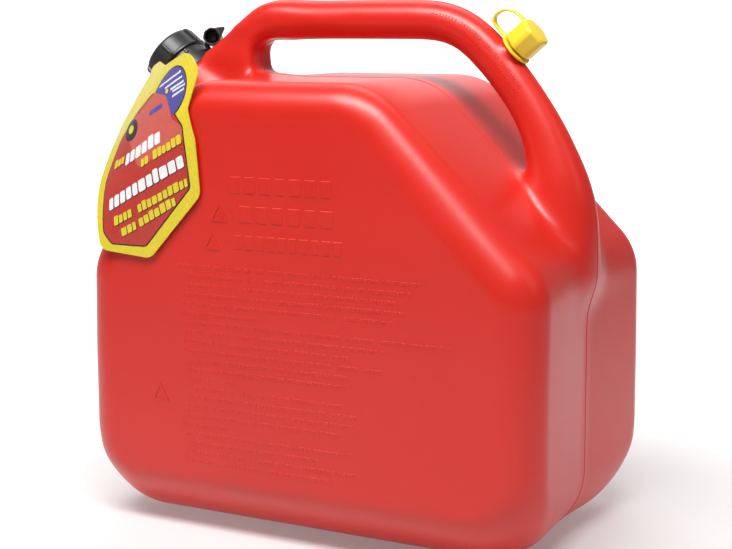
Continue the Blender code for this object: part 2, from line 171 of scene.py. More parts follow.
def moulded(name, colour, dark, roughness, grain=900.0, grain_depth=0.00003, wave_depth=0.0002, scuff=0.06):
    """Satin moulded plastic: cloudy colour, fine grain, slow waves from moulding, light rubbed scratches."""
    look = Look(name, colour, roughness)
    look.shader.inputs["Specular IOR Level"].default_value = 0.62
    cloud = look.noise(9.0, 3.0)
    speck = look.noise(260.0, 5.0, 0.6)
    scratch = look.noise(60.0, 6.0, 0.7, (1.0, 1.0, 14.0))
    rub = look.noise(7.0, 3.0, 0.6)
    tone = look.mix(look.spread(cloud, 0.30, 0.72), dark, colour)
    pale = tuple(min(1.0, c * 1.12 + 0.012) for c in colour)
    look.colour(look.mix(look.spread(speck, 0.66, 0.80, 0.0, 0.45), tone, pale))
    patch = look.math("MULTIPLY", look.spread(scratch, 0.56, 0.70), look.spread(rub, 0.50, 0.68))
    uneven = look.spread(cloud, 0.25, 0.75, roughness - 0.035, roughness + 0.045)
    look.roughness(look.math("ADD", uneven, look.math("MULTIPLY", patch, scuff)))
    look.bumps(
        (look.noise(grain, 2.0, 0.5), 0.5, grain_depth),
        (look.noise(16.0, 2.0, 0.4), 0.6, wave_depth),
        (patch, 0.25, 0.00002),
    )
    return look.mat


RED = moulded("red_polyethylene", (0.66, 0.017, 0.008), (0.61, 0.014, 0.006), 0.34)
BLACK = moulded(
    "black_polypropylene", (0.020, 0.020, 0.022), (0.013, 0.013, 0.015), 0.36, 1400.0, 0.00003, 0.00006, 0.12
)
YELLOW = moulded(
    "yellow_polypropylene", (0.88, 0.68, 0.035), (0.84, 0.62, 0.025), 0.34, 1200.0, 0.00002, 0.00005, 0.06
)
RUBBER = moulded(
    "gasket_rubber", (0.030, 0.030, 0.030), (0.022, 0.022, 0.022), 0.72, 1500.0, 0.00004, 0.00005, 0.04
)


def print_ink(name, colour, roughness=0.30):
    """Ink under a glossy film on card: slight mottling and soft ripples in the card."""
    look = Look(name, colour, roughness)
    mottle = look.noise(420.0, 3.0)
    darker = tuple(c * 0.90 for c in colour)
    look.colour(look.mix(look.spread(mottle, 0.35, 0.65), darker, colour))
    look.roughness(look.spread(look.noise(45.0, 3.0), 0.3, 0.7, roughness - 0.04, roughness + 0.07))
    look.bumps((look.noise(24.0, 2.0, 0.4), 0.35, 0.0004), (look.noise(1800.0, 2.0), 0.25, 0.00001))
    return look.mat


INK_YELLOW = print_ink("tag_yellow", (0.76, 0.62, 0.035))
INK_RED = print_ink("tag_red", (0.50, 0.045, 0.035))
INK_DARK = print_ink("tag_dark", (0.035, 0.012, 0.02))
INK_BLUE = print_ink("tag_blue", (0.095, 0.085, 0.34))
INK_WHITE = print_ink("tag_white", (0.86, 0.86, 0.86))
INK_ROSE = print_ink("tag_rose", (0.60, 0.115, 0.09))


# ---------------------------------------------------------------- mesh tools


def new_piece(name, bm, look, body, replaced=(), sharp=None, matrix=None):
    """Makes the mesh an object, the CAD nodes it replaces and the body it rides on."""
    bmesh.ops.recalc_face_normals(bm, faces=bm.faces)
    mesh = bpy.data.meshes.new(name)
    bm.to_mesh(mesh)
    bm.free()
    mesh.materials.append(look)
    mesh.shade_smooth()
    if sharp is not None:
        mesh.set_sharp_from_angle(angle=math.radians(sharp))
    obj = bpy.data.objects.new(name, mesh)
    bpy.context.scene.collection.objects.link(obj)
    if matrix is not None:
        obj.matrix_world = matrix
    if replaced:
        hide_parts(*replaced)
    if body is not None:
        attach(obj, body)
    return obj


def rounded(corners, closed=True, step=math.radians(9)):
    """Points along the outline of (a, b, radius) corners, each corner turned into an arc."""
    points = []
    count = len(corners)
    for index, (x, z, radius) in enumerate(corners):
        here = Vector((x, z))
        if radius <= 0 or (not closed and index in (0, count - 1)):
            points.append(here)
            continue
        before = (here - Vector(corners[index - 1][:2])).normalized()
        after = (Vector(corners[(index + 1) % count][:2]) - here).normalized()
        turn = math.atan2(before.cross(after), before.dot(after))
        side = math.copysign(1.0, turn)
        normal = Vector((-before.y, before.x)) * side
        centre = here - before * radius * math.tan(abs(turn) / 2) + normal * radius
        start = math.atan2(-normal.y, -normal.x)
        steps = max(2, math.ceil(abs(turn) / step))
        for k in range(steps + 1):
            angle = start + turn * k / steps
            points.append(centre + radius * Vector((math.cos(angle), math.sin(angle))))
    return points


def bridge(bm, low, high):
    """Faces between two rings; a ring of one vertex is a pole."""
    count = max(len(low), len(high))
    for k in range(count):
        a, b = low[k % len(low)], low[(k + 1) % len(low)]
        c, d = high[(k + 1) % len(high)], high[k % len(high)]
        corners = [v for i, v in enumerate((a, b, c, d)) if v not in (a, b, c, d)[:i]]
        if len(corners) > 2:
            bm.faces.new(corners)


def turned(bm, profile, sides, shape=None):
    """Turns (radius, height) points in mm about local Z; shape(angle) scales the radius."""
    rings = []
    for radius, height in profile:
        if radius < 1e-4:
            rings.append([bm.verts.new((0.0, 0.0, height * MM))])
            continue
        ring = []
        for k in range(sides):
            angle = 2 * math.pi * k / sides
            r = radius * MM * (shape(angle) if shape else 1.0)
            ring.append(bm.verts.new((r * math.cos(angle), r * math.sin(angle), height * MM)))
        rings.append(ring)
    for low, high in zip(rings, rings[1:]):
        bridge(bm, low, high)
    return rings


def polygon(count, corner):
    """Radius of a rounded polygon at an angle from a flat's middle, as a share of its half width."""
    half = math.pi / count

    def shape(angle):
        a = (angle + half) % (2 * half) - half
        return 1 / math.cos(a) - corner * max(0.0, abs(a) / half - 0.62) ** 2 * 6.9

    return shape


def ring_of(bm, corners, sides):
    """A closed turned section, such as a washer or a collar."""
    profile = rounded(corners)
    rings = turned(bm, [(p.x, p.y) for p in profile], sides)
    bridge(bm, rings[-1], rings[0])


def loft(bm, sections):
    """A closed body through sections with the same number of points."""
    rings = [[bm.verts.new(p) for p in section] for section in sections]
    for low, high in zip(rings, rings[1:]):
        bridge(bm, low, high)
    bm.faces.new(list(reversed(rings[0])))
    bm.faces.new(rings[-1])


def smooth_path(points, per_span=8):
    """Catmull-Rom curve through the points."""
    ends = [points[0] * 2 - points[1]] + list(points) + [points[-1] * 2 - points[-2]]
    curve = []
    for a, b, c, d in zip(ends, ends[1:], ends[2:], ends[3:]):
        for k in range(per_span):
            t = k / per_span
            square = 2 * a - 5 * b + 4 * c - d
            cube = 3 * b - a - 3 * c + d
            curve.append(0.5 * (2 * b + (c - a) * t + square * t * t + cube * t**3))
    curve.append(points[-1])
    return curve


def strap(bm, path, half_width, half_thick, corner=0.0006):
    """A rounded flat band swept along a path in the plane Y = 0; half_width may be a function of t."""
    sections = []
    for index, here in enumerate(path):
        along = (path[min(index + 1, len(path) - 1)] - path[max(index - 1, 0)]).normalized()
        side = Vector((0.0, 1.0, 0.0))
        up = along.cross(side)
        wide = half_width(index / (len(path) - 1)) if callable(half_width) else half_width
        outline = rounded(
            [
                (-wide, -half_thick, corner),
                (wide, -half_thick, corner),
                (wide, half_thick, corner),
                (-wide, half_thick, corner),
            ],
            step=math.radians(30),
        )
        sections.append([here + side * p.x + up * p.y for p in outline])
    loft(bm, sections)


# ---------------------------------------------------------------- the tank's surface


GRID_STEP = 1.0
GRID_X = np.arange(-198.0, 199.0, GRID_STEP)
GRID_Z = np.arange(-14.0, 401.0, GRID_STEP)


def segment_distance(points, nearest_value=None):
    """Distance from each grid node to a run of points, and the nearest point's value along the run."""
    gx, gz = np.meshgrid(GRID_X, GRID_Z, indexing="ij")
    best = np.full(gx.shape, 1e9)
    carried = np.zeros(gx.shape)
    for k in range(len(points) - 1):
        (ax, az), (bx, bz) = points[k], points[k + 1]
        dx, dz = bx - ax, bz - az
        t = np.clip(((gx - ax) * dx + (gz - az) * dz) / max(dx * dx + dz * dz, 1e-9), 0, 1)
        d = np.hypot(gx - ax - t * dx, gz - az - t * dz)
        nearer = d < best
        best = np.where(nearer, d, best)
        if nearest_value is not None:
            value = nearest_value[k] + t * (nearest_value[k + 1] - nearest_value[k])
            carried = np.where(nearer, value, carried)
    return best, carried


def outline_field(corners):
    """Signed distance to a rounded outline in XZ, negative inside."""
    points = [(p.x, p.y) for p in rounded(corners, step=math.radians(5))]
    points.append(points[0])
    distance, _ = segment_distance(points)
    gx, gz = np.meshgrid(GRID_X, GRID_Z, indexing="ij")
    inside = np.zeros(gx.shape, bool)
    for (ax, az), (bx, bz) in zip(points, points[1:]):
        if az == bz:
            continue
        crosses = (az > gz) != (bz > gz)
        inside ^= crosses & (gx < ax + (gz - az) * (bx - ax) / (bz - az))
    return np.where(inside, -distance, distance)


def look_up(field, x, z):
    """Field value between grid nodes."""
    u = np.clip((x - GRID_X[0]) / GRID_STEP, 0, len(GRID_X) - 1.001)
    v = np.clip((z - GRID_Z[0]) / GRID_STEP, 0, len(GRID_Z) - 1.001)
    i, j = u.astype(int), v.astype(int)
    u, v = u - i, v - j
    low = field[i, j] * (1 - u) + field[i + 1, j] * u
    high = field[i, j + 1] * (1 - u) + field[i + 1, j + 1] * u
    return low * (1 - v) + high * v


def ease(low, high, x):
    """0 below low, 1 above high, smooth between."""
    t = np.clip((x - low) / (high - low), 0, 1)
    return t * t * (3 - 2 * t)


def join(a, b, radius):
    """Union of two distances with a fillet."""
    h = np.clip(radius - np.abs(a - b), 0, None) / radius
    return np.minimum(a, b) - h * h * h * radius / 6


def carve(a, b, radius):
    """Takes away from a where b is negative, with a rounded edge."""
    return -join(-a, b, radius)


BODY_FIELD = outline_field(
    [
        (-180, 0, 46),
        (180, 0, 53),
        (179.5, 200, 45),
        (55, 325, 60),
        (-91, 325, 34),
        (-179.5, 193, 45),
    ]
)
ROOT_FIELD = outline_field(
    [
        (-118, 262, 14),
        (-20, 262, 14),
        (-20, 296, 14),
        (-89.5, 326.0, 11),
        (-89.5, 353.6, 14),
        (-60, 354.6, 30),
        (-12, 364, 1),
        (-12, 369, 1),
        (-60, 378.9, 30),
        (-84, 379.6, 40),
        (-152, 329, 16),
        (-150, 300, 14),
    ]
)
HANDLE_STATIONS = [
    (-92, 360.0, 11.0),
    (-78, 365.7, 12.8),
    (-60, 366.5, 13.5),
    (-30, 366.6, 13.5),
    (0, 366.6, 13.5),
    (28, 366.5, 13.5),
    (46, 366.3, 13.5),
    (62, 364.6, 13.5),
    (77, 359.4, 13.5),
    (92, 349.0, 13.5),
    (112, 328.5, 13.7),
    (130, 304.5, 14.2),
    (143.2, 279.0, 16.6),
    (152.6, 250.0, 20.6),
    (157.6, 225.0, 21.0),
    (156.5, 195.0, 19.0),
]
HANDLE_PATH = smooth_path([Vector(s) for s in HANDLE_STATIONS], 5)
HANDLE_FIELD, HANDLE_RADIUS = segment_distance(
    [(p.x, p.y) for p in HANDLE_PATH], [p.z for p in HANDLE_PATH]
)

SEAT_MM, NECK_MM, NECK_UP_MM = (np.array(v) for v in (NECK_SEAT * 1000, NECK_AXIS, NECK_UP))
VENT_MM = np.array(VENT_SEAT * 1000)


def rim_radius(z):
    """Fillet along the long edges: large at the base, smaller up the corners and round the deck."""
    return 42 - 15 * ease(20, 72, z) + 2 * ease(120, 190, z) - 8 * ease(230, 325, z)


def crossed(a, b, radius):
    """Where both distances are inside, with the edge between them rounded."""
    a, b = a + radius, b + radius
    return np.minimum(np.maximum(a, b), 0) + np.hypot(np.maximum(a, 0), np.maximum(b, 0)) - radius


def tank_body(x, across, z):
    """The can proper: its outline seen from the side, crossed with its width."""
    valley = ease(0, 14, across) * (across - 7) + (1 - ease(0, 14, across)) * across * across / 28
    fold = np.clip(1 - valley / 80, 0, 1)
    rear = ease(60, 160, x) * (1 - ease(165, 225, z)) * 6.5
    front = ease(60, 160, -x) * (1 - ease(150, 215, z)) * 4.0
    raised = 11.5 * ease(50, 110, across) * (1 - ease(20, 110, z))
    plan = look_up(BODY_FIELD, x + fold * (rear - front), z - raised)
    crown = 1.1 * np.clip(1 - (x / 165) ** 2, 0, 1) * np.clip(1 - ((z - 165) / 150) ** 2, 0, 1)
    half = 112.0 - 0.9 * ease(60, 320, z) + crown
    return crossed(plan, across - half, rim_radius(z))


def handle_root(x, across, z):
    """The flat-sided block behind the neck that the handle grows from."""
    away = np.maximum(np.maximum(1 - ease(-117, -97, x), ease(357, 370, z)), ease(-84, -68, x))
    edge = 5.5 + 5.0 * np.maximum(away, 1 - ease(314, 324, z))
    half = 15.0 + 2.2 * (1 - ease(336, 356, z)) - 3.0 * ease(-80, -30, x)
    return crossed(look_up(ROOT_FIELD, x, z), across - half, edge)


def tank(x, y, z):
    """Signed distance to the moulded tank, handle and neck boss, in mm."""
    across = np.abs(y)
    handle = np.hypot(look_up(HANDLE_FIELD, x, z), y) - look_up(HANDLE_RADIUS, x, z)
    dx, dz = x - SEAT_MM[0], z - SEAT_MM[2]
    high = dx * NECK_MM[0] + dz * NECK_MM[2]
    out = np.hypot(dx * NECK_UP_MM[0] + dz * NECK_UP_MM[2], y)
    cone = (out - (24.0 - 0.118 * high)) * 0.993
    boss = np.maximum(crossed(cone, high + 7, 2), -(high + 95))
    dx, dz = x - VENT_MM[0], z - VENT_MM[2]
    rise = dx * VENT_AXIS.x + dz * VENT_AXIS.z
    wide = np.hypot(dx * VENT_UP.x + dz * VENT_UP.z, y)
    seat = np.maximum(wide - 9.2, np.abs(rise + 3) - 5.2)
    solid = join(handle_root(x, across, z), handle, 9)
    solid = join(tank_body(x, across, z), solid, 22 + 8 * ease(100, 130, x))
    solid = join(solid, boss, 9)
    solid = join(solid, seat, 3)
    solid = carve(solid, np.maximum(out - 25.2, -(high + 8.3)), 1.8)
    pocket = np.maximum(out - 16.5, -(high + 34))
    return carve(solid, pocket, 0.8)


def tank_middle(x, y, z):
    """The tank's distance in the plane Y = 0, whatever y is."""
    return tank(x, y * 0, z)


def surface_net(field, step):
    """Quads round the zero set of the field, then moved onto it."""
    xs = np.arange(-192.0, 193.0, step)
    ys = np.arange(-40.5, 41.5) * step
    zs = np.arange(-7.5, 394.0, step)
    f = np.empty((len(xs), len(ys), len(zs)), np.float32)
    for i, x in enumerate(xs):
        yy, zz = np.meshgrid(ys, zs, indexing="ij")
        f[i] = field(np.full(yy.shape, x), yy, zz)
    inside = f < 0
    halves = (slice(0, -1), slice(1, None))
    held = sum(inside[a, b, c].astype(np.int8) for a in halves for b in halves for c in halves)
    active = (held > 0) & (held < 8)
    index = np.full(active.shape, -1, int)
    index[active] = np.arange(active.sum())
    cell = np.argwhere(active)
    points = np.stack([xs[cell[:, 0]], ys[cell[:, 1]], zs[cell[:, 2]]], 1) + step / 2
    quads = []
    for axis in range(3):
        first = np.take(inside, range(0, inside.shape[axis] - 1), axis)
        second = np.take(inside, range(1, inside.shape[axis]), axis)
        edges = np.argwhere(first != second)
        u, v = (axis + 1) % 3, (axis + 2) % 3
        edges = edges[(edges[:, u] > 0) & (edges[:, v] > 0)]
        flip = first[tuple(edges.T)]
        around = []
        for du, dv in ((0, 0), (1, 0), (1, 1), (0, 1)):
            at = edges.copy()
            at[:, u] -= du
            at[:, v] -= dv
            around.append(index[tuple(at.T)])
        quad = np.stack(around, 1)
        quad[~flip] = quad[~flip][:, ::-1]
        quads.append(quad)
    quads = np.concatenate(quads)
    ends = np.concatenate([quads[:, [k, (k + 1) % 4]] for k in range(4)])
    for rounds in range(5):
        points = onto(field, points, 3)
        if rounds < 4:
            total = np.zeros_like(points)
            count = np.zeros(len(points))
            np.add.at(total, ends[:, 0], points[ends[:, 1]])
            np.add.at(count, ends[:, 0], 1)
            points += 0.6 * (total / count[:, None] - points)
    return points, quads


def gradient(field, points, step=0.4):
    """Slope of the field at each point, by central differences."""
    columns = []
    for axis in range(3):
        ahead, behind = points.copy(), points.copy()
        ahead[:, axis] += step
        behind[:, axis] -= step
        columns.append((field(*ahead.T) - field(*behind.T)) / (2 * step))
    return np.stack(columns, 1)


def onto(field, points, rounds=4):
    """Newton steps onto the zero set."""
    points = points.copy()
    for _ in range(rounds):
        g = gradient(field, points)
        move = field(*points.T) / np.maximum((g * g).sum(1), 0.05)
        points -= np.clip(move, -2.5, 2.5)[:, None] * g
    return points


def make_tank():
    """The whole moulding apart from its neck and vent nipple."""
    points, quads = surface_net(tank, 3.0)
    bm = bmesh.new()
    verts = [bm.verts.new(p) for p in (points * MM).tolist()]
    for quad in quads.tolist():
        bm.faces.new([verts[i] for i in quad])
    new_piece("tank_shell", bm, RED, "tank", ["can_body"])


make_tank()


# ---------------------------------------------------------------- seam, raised marks


def contour(start, towards):
    """Walks the tank's outline in the plane Y = 0 with steps of 2 mm from a point until it comes round."""
    p = onto(tank_middle, np.array([start], float), 6)
    first, path = p[0].copy(), [p[0].copy()]
    direction = np.array(towards, float)
    for _ in range(1500):
        g = gradient(tank_middle, p)[0]
        along = np.array([g[2], 0.0, -g[0]])
        along *= np.sign(along @ direction) / np.linalg.norm(along)
        p = onto(tank_middle, p + along * 2.0, 2)
        direction = along
        path.append(p[0].copy())
        if len(path) > 20 and np.linalg.norm(p[0] - first) < 1.6:
            break
    return path


def make_seam():
    """The fine ridge that the two mould halves leave in the plane Y = 0."""
    left = ((-0.9, -0.35), (-0.42, 0.16), (-0.16, 0.34))
    section = (*left, (0.16, 0.34), (0.42, 0.16), (0.9, -0.35), (0.0, -0.9))
    bm = bmesh.new()
    for start, towards in (((0.0, 0.0, 0.0), (1, 0, 0)), ((0.0, 0.0, 325.0), (1, 0, 0))):
        path = np.array(contour(start, towards))
        normals = gradient(tank_middle, path)
        rows, run = [], []
        for p, n in zip(path, normals):
            near_neck = np.linalg.norm(p - SEAT_MM) < 29 and (p - SEAT_MM) @ NECK_MM > -10
            near_vent = np.linalg.norm(p - VENT_MM) < 11.5
            if near_neck or near_vent:
                if len(run) > 3:
                    rows.append(run)
                run = []
                continue
            n = n / np.linalg.norm(n)
            run.append([Vector((p + n * h + np.array([0.0, y, 0.0])) * MM) for y, h in section])
        rows.append(run)
        for run in rows:
            loft(bm, run)
    new_piece("parting_seam", bm, RED, "tank", sharp=60)


make_seam()


def pad(bm, surface, centre, size, height, bevel):
    """A small raised pad. surface(u, v) gives a point and its normal in mm; centre and size are in u, v."""
    (u, v), (w, h) = centre, size
    corners = [(-w / 2, -h / 2), (w / 2, -h / 2), (w / 2, h / 2), (-w / 2, h / 2)]
    rings = []
    for inset, lift in ((0.0, -0.4), (0.0, 0.0), (bevel, height)):
        ring = []
        for a, b in corners:
            a -= math.copysign(min(inset, w * 0.4), a)
            b -= math.copysign(min(inset, h * 0.4), b)
            point, normal = surface(u + a, v + b)
            ring.append(bm.verts.new(Vector((point + normal * lift) * MM)))
        rings.append(ring)
    for low, high in zip(rings, rings[1:]):
        bridge(bm, low, high)
    bm.faces.new(rings[-1])


def wall_surface(side):
    """The near (side -1) or far (side 1) wall as a function of distance along it and height."""
    left, foot, step = -140.0, 30.0, 5
    xs, zs = np.meshgrid(np.arange(left, 141.0, step), np.arange(foot, 291.0, step), indexing="ij")
    ys = np.full(xs.shape, side * 116.0)
    for _ in range(8):
        ys -= side * tank(xs, ys, zs)

    def at(u, v):
        a = min(max((u - left) / step, 0), xs.shape[0] - 1.001)
        b = min(max((v - foot) / step, 0), xs.shape[1] - 1.001)
        i, j = int(a), int(b)
        a, b = a - i, b - j
        low = ys[i, j] * (1 - a) + ys[i + 1, j] * a
        high = ys[i, j + 1] * (1 - a) + ys[i + 1, j + 1] * a
        y = low * (1 - b) + high * b
        return np.array([u, y, v]), np.array([0.0, side, 0.0])

    return at


def raised_rows(bm, surface, mirror, seed):
    """Generic raised pads in rows: three tall rows, then rows of fine ones, with no lettering."""
    draw = random.Random(seed)

    def put(x0, x1, z, size, gap, tall, height):
        x = x0
        while x < x1 - size * 0.5:
            w = size * draw.uniform(0.55, 1.15)
            if draw.random() < 0.14 and x > x0:
                x += size * 0.9
                continue
            h = tall * draw.choice((1.0, 1.0, 0.8))
            pad(bm, surface, (mirror * (x + w / 2), z), (w, h), height, min(0.3, tall * 0.2))
            x += w + gap

    headings = ((-48, 36, 255, 11.5, 7), (-40, 37, 235, 11.5, 6), (-44, 43, 215.5, 10.0, 10))
    for x0, x1, z, tall, cells in headings:
        width = (x1 - x0) / cells
        for k in range(cells):
            wide = width * draw.choice((0.74, 0.74, 0.66))
            middle = mirror * (x0 + width * (k + 0.45))
            pad(bm, surface, (middle, z), (wide, tall), height=0.45, bevel=0.45)
    left = -88.0
    for row in range(22):
        z = 196.0 - row * 6.75
        right = 92 - 55 * (row / 21) ** 0.8 + draw.uniform(-22, 14)
        if row in (5, 12, 17):
            right = draw.uniform(-60, -20)
        if row == 6:
            right = 121
        put(left + draw.uniform(-4, 4), right, z, size=2.3, gap=0.75, tall=3.0, height=0.34)


def triangle_mark(bm, surface, mirror, x, z, size):
    """A raised triangular outline."""
    corners = [(-size / 2, 0.0), (size / 2, 0.0), (0.0, size * 0.9)]
    middle = size * 0.3
    outline = []
    for inset in (0.0, 0.34):
        outline.append([(a - a * inset, b + (middle - b) * inset) for a, b in corners])
    rings = []
    for ring, lift in ((outline[0], -0.4), (outline[0], 0.5), (outline[1], 0.5), (outline[1], -0.4)):
        made = []
        for a, b in ring:
            point, normal = surface(mirror * (x + a), z + b)
            made.append(bm.verts.new(Vector((point + normal * lift) * MM)))
        rings.append(made)
    for low, high in zip(rings, rings[1:]):
        bridge(bm, low, high)


def make_marks():
    """Generic raised rows and triangles on both long walls."""
    for name, side, mirror, seed in (("raised_marks_near", -1, 1, 7), ("raised_marks_far", 1, -1, 11)):
        surface = wall_surface(side)
        bm = bmesh.new()
        raised_rows(bm, surface, mirror, seed)
        for x, z, size in ((-56, 229, 15), (-62, 209, 14), (-109, 96, 15)):
            triangle_mark(bm, surface, mirror, x, z, size)
        new_piece(name, bm, RED, "tank", sharp=25)


make_marks()


def make_handle_marks():
    """Two fine rows of pads along the near side of the handle's rear leg."""
    draw = random.Random(5)
    lengths = [0.0]
    for a, b in zip(HANDLE_PATH, HANDLE_PATH[1:]):
        lengths.append(lengths[-1] + (b.xy - a.xy).length)

    def at(u, v):
        k = min(max(sum(1 for d in lengths if d <= u) - 1, 0), len(HANDLE_PATH) - 2)
        t = (u - lengths[k]) / (lengths[k + 1] - lengths[k])
        a, b = HANDLE_PATH[k], HANDLE_PATH[k + 1]
        p = a.lerp(b, min(max(t, 0.0), 1.0))
        along = Vector((b.x - a.x, 0.0, b.y - a.y)).normalized()
        out = Vector((along.z, 0.0, -along.x)) * -1
        angle = v / p.z
        normal = Vector((0.0, -1.0, 0.0)) * math.cos(angle) + out * math.sin(angle)
        point = Vector((p.x, 0.0, p.y)) + normal * p.z
        return np.array(point), np.array(normal)

    bm = bmesh.new()
    for row, (start, end) in enumerate(((152.0, 236.0), (168.0, 238.0))):
        u = start
        while u < end:
            w = draw.uniform(1.1, 2.0)
            if draw.random() > 0.15:
                pad(bm, at, (u, 6.0 - row * 4.2), (w, draw.choice((2.3, 2.3, 1.6))), 0.28, 0.3)
            u += w + 0.7
    new_piece("raised_marks_handle", bm, RED, "tank", sharp=25)


make_handle_marks()


# ---------------------------------------------------------------- neck, nipple


def make_neck():
    """The threaded neck and the vent nipple."""
    bm = bmesh.new()
    outer = [(16.5, -30, 0), (19.8, -14.0, 0), (19.2, -6.0, 2.0), (19.0, 0.5, 0.8)]
    outer += [(19.0, 16.3, 0.7), (16.5, 16.3, 0.7), (16.5, -30, 0)]
    turned(bm, [(p.x, p.y) for p in rounded(outer, closed=False)], 96)
    sections, per_turn, turns, pitch = [], 48, 1.5, 6.35
    for k in range(int(per_turn * turns) + 1):
        fade = min(1.0, k / 6, (per_turn * turns - k) / 6)
        angle = 2 * math.pi * k / per_turn
        h = 5.0 + pitch * k / per_turn
        r = 19.0 + 1.3 * max(fade, 0.12)
        section = ((18.4, -1.5), (18.95, -1.2), (r, -0.45), (r, 0.45), (18.95, 1.2), (18.4, 1.5))
        c, s = math.cos(angle), math.sin(angle)
        sections.append([Vector((a * c, a * s, h + b)) * MM for a, b in section])
    loft(bm, sections)
    new_piece("threaded_neck", bm, RED, "tank", sharp=40, matrix=NECK_FRAME)
    bm = bmesh.new()
    nipple = [(3.2, -6, 0), (6.0, -6, 0), (6.0, 5.2, 0.2), (6.35, 5.6, 0.2), (6.0, 6.4, 0.2)]
    nipple += [(6.0, 16.5, 0.4), (5.2, 18.5, 0.5), (3.2, 18.5, 0.4), (3.2, -6, 0)]
    turned(bm, [(p.x, p.y) for p in rounded(nipple, closed=False)], 48)
    new_piece("vent_nipple", bm, RED, "tank", sharp=40, matrix=VENT_FRAME)


make_neck()


# ---------------------------------------------------------------- collar and what it clamps


def rib(bm, angle, low, high, radius_at, height, width):
    """A rounded rib along the collar's wall, faded at both ends."""
    sections = []
    for k in range(15):
        t = k / 14
        h = low + (high - low) * t
        fade = min(1.0, 6 * t, 6 * (1 - t)) ** 0.5
        r = radius_at(h)
        section = []
        for j in range(9):
            s = j / 8 * 2 - 1
            lift = height * fade * (1 - abs(s) ** 5)
            turn = angle + s * width / 2 / r
            reach = r - 0.15 + lift
            section.append(Vector((reach * math.cos(turn), reach * math.sin(turn), h)) * MM)
        section.append(Vector(((r - 0.8) * math.cos(angle), (r - 0.8) * math.sin(angle), h)) * MM)
        sections.append(section)
    loft(bm, sections)


def make_collar():
    """The ribbed collar and the face of the disc in its window."""
    bm = bmesh.new()
    wall = [(21.2, 1.3, 0.25), (22.0, 1.3, 0.3), (22.0, 9.0, 0.3), (24.1, 9.6, 0.5)]
    wall += [(24.2, 11.2, 0.5), (23.8, 12.0, 0.5), (23.3, 24.0, 0.7), (21.6, 26.3, 0.8)]
    wall += [(16.0, 26.3, 0.5), (15.0, 25.6, 0.4), (15.0, 23.5, 0.2), (21.2, 23.5, 0.5)]
    ring_of(bm, wall, 128)

    def radius_at(h):
        return 23.8 - 0.5 * (h - 9.5) / 14.0

    for index in range(6):
        rib(bm, math.radians(-6 + 60 * index), 9.4, 25.0, radius_at, 2.3, 3.0)
    for degrees in (8, 13, 188, 193):
        rib(bm, math.radians(degrees), 10.6, 23.4, radius_at, 0.55, 1.1)
    # A small catch on the skirt, under the wall.
    rib(bm, math.radians(-41), 4.6, 9.6, lambda h: 22.0, 1.2, 3.0)
    new_piece("collar_shell", bm, BLACK, "collar", ["screw_collar"], 35, NECK_FRAME)
    bm = bmesh.new()
    disc = [(0, 21.4, 0), (19.2, 21.4, 0.3), (19.2, 23.2, 0.3), (14.5, 23.2, 0.3)]
    disc += [(14.5, 25.2, 0.7), (12.4, 25.2, 0.4), (11.8, 24.5, 0.4)]
    disc += [(4.2, 24.5, 0.3), (3.6, 24.9, 0.3), (0, 24.9, 0)]
    turned(bm, [(p.x, p.y) for p in rounded(disc, closed=False)], 96)
    new_piece("stopper_face", bm, YELLOW, "closure", ["stopper_disc"], 35, NECK_FRAME)


make_collar()
for node, look in (("pour_spout", YELLOW), ("neck_gasket", RUBBER)):
    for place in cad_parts[node].material_slots:
        place.material = look


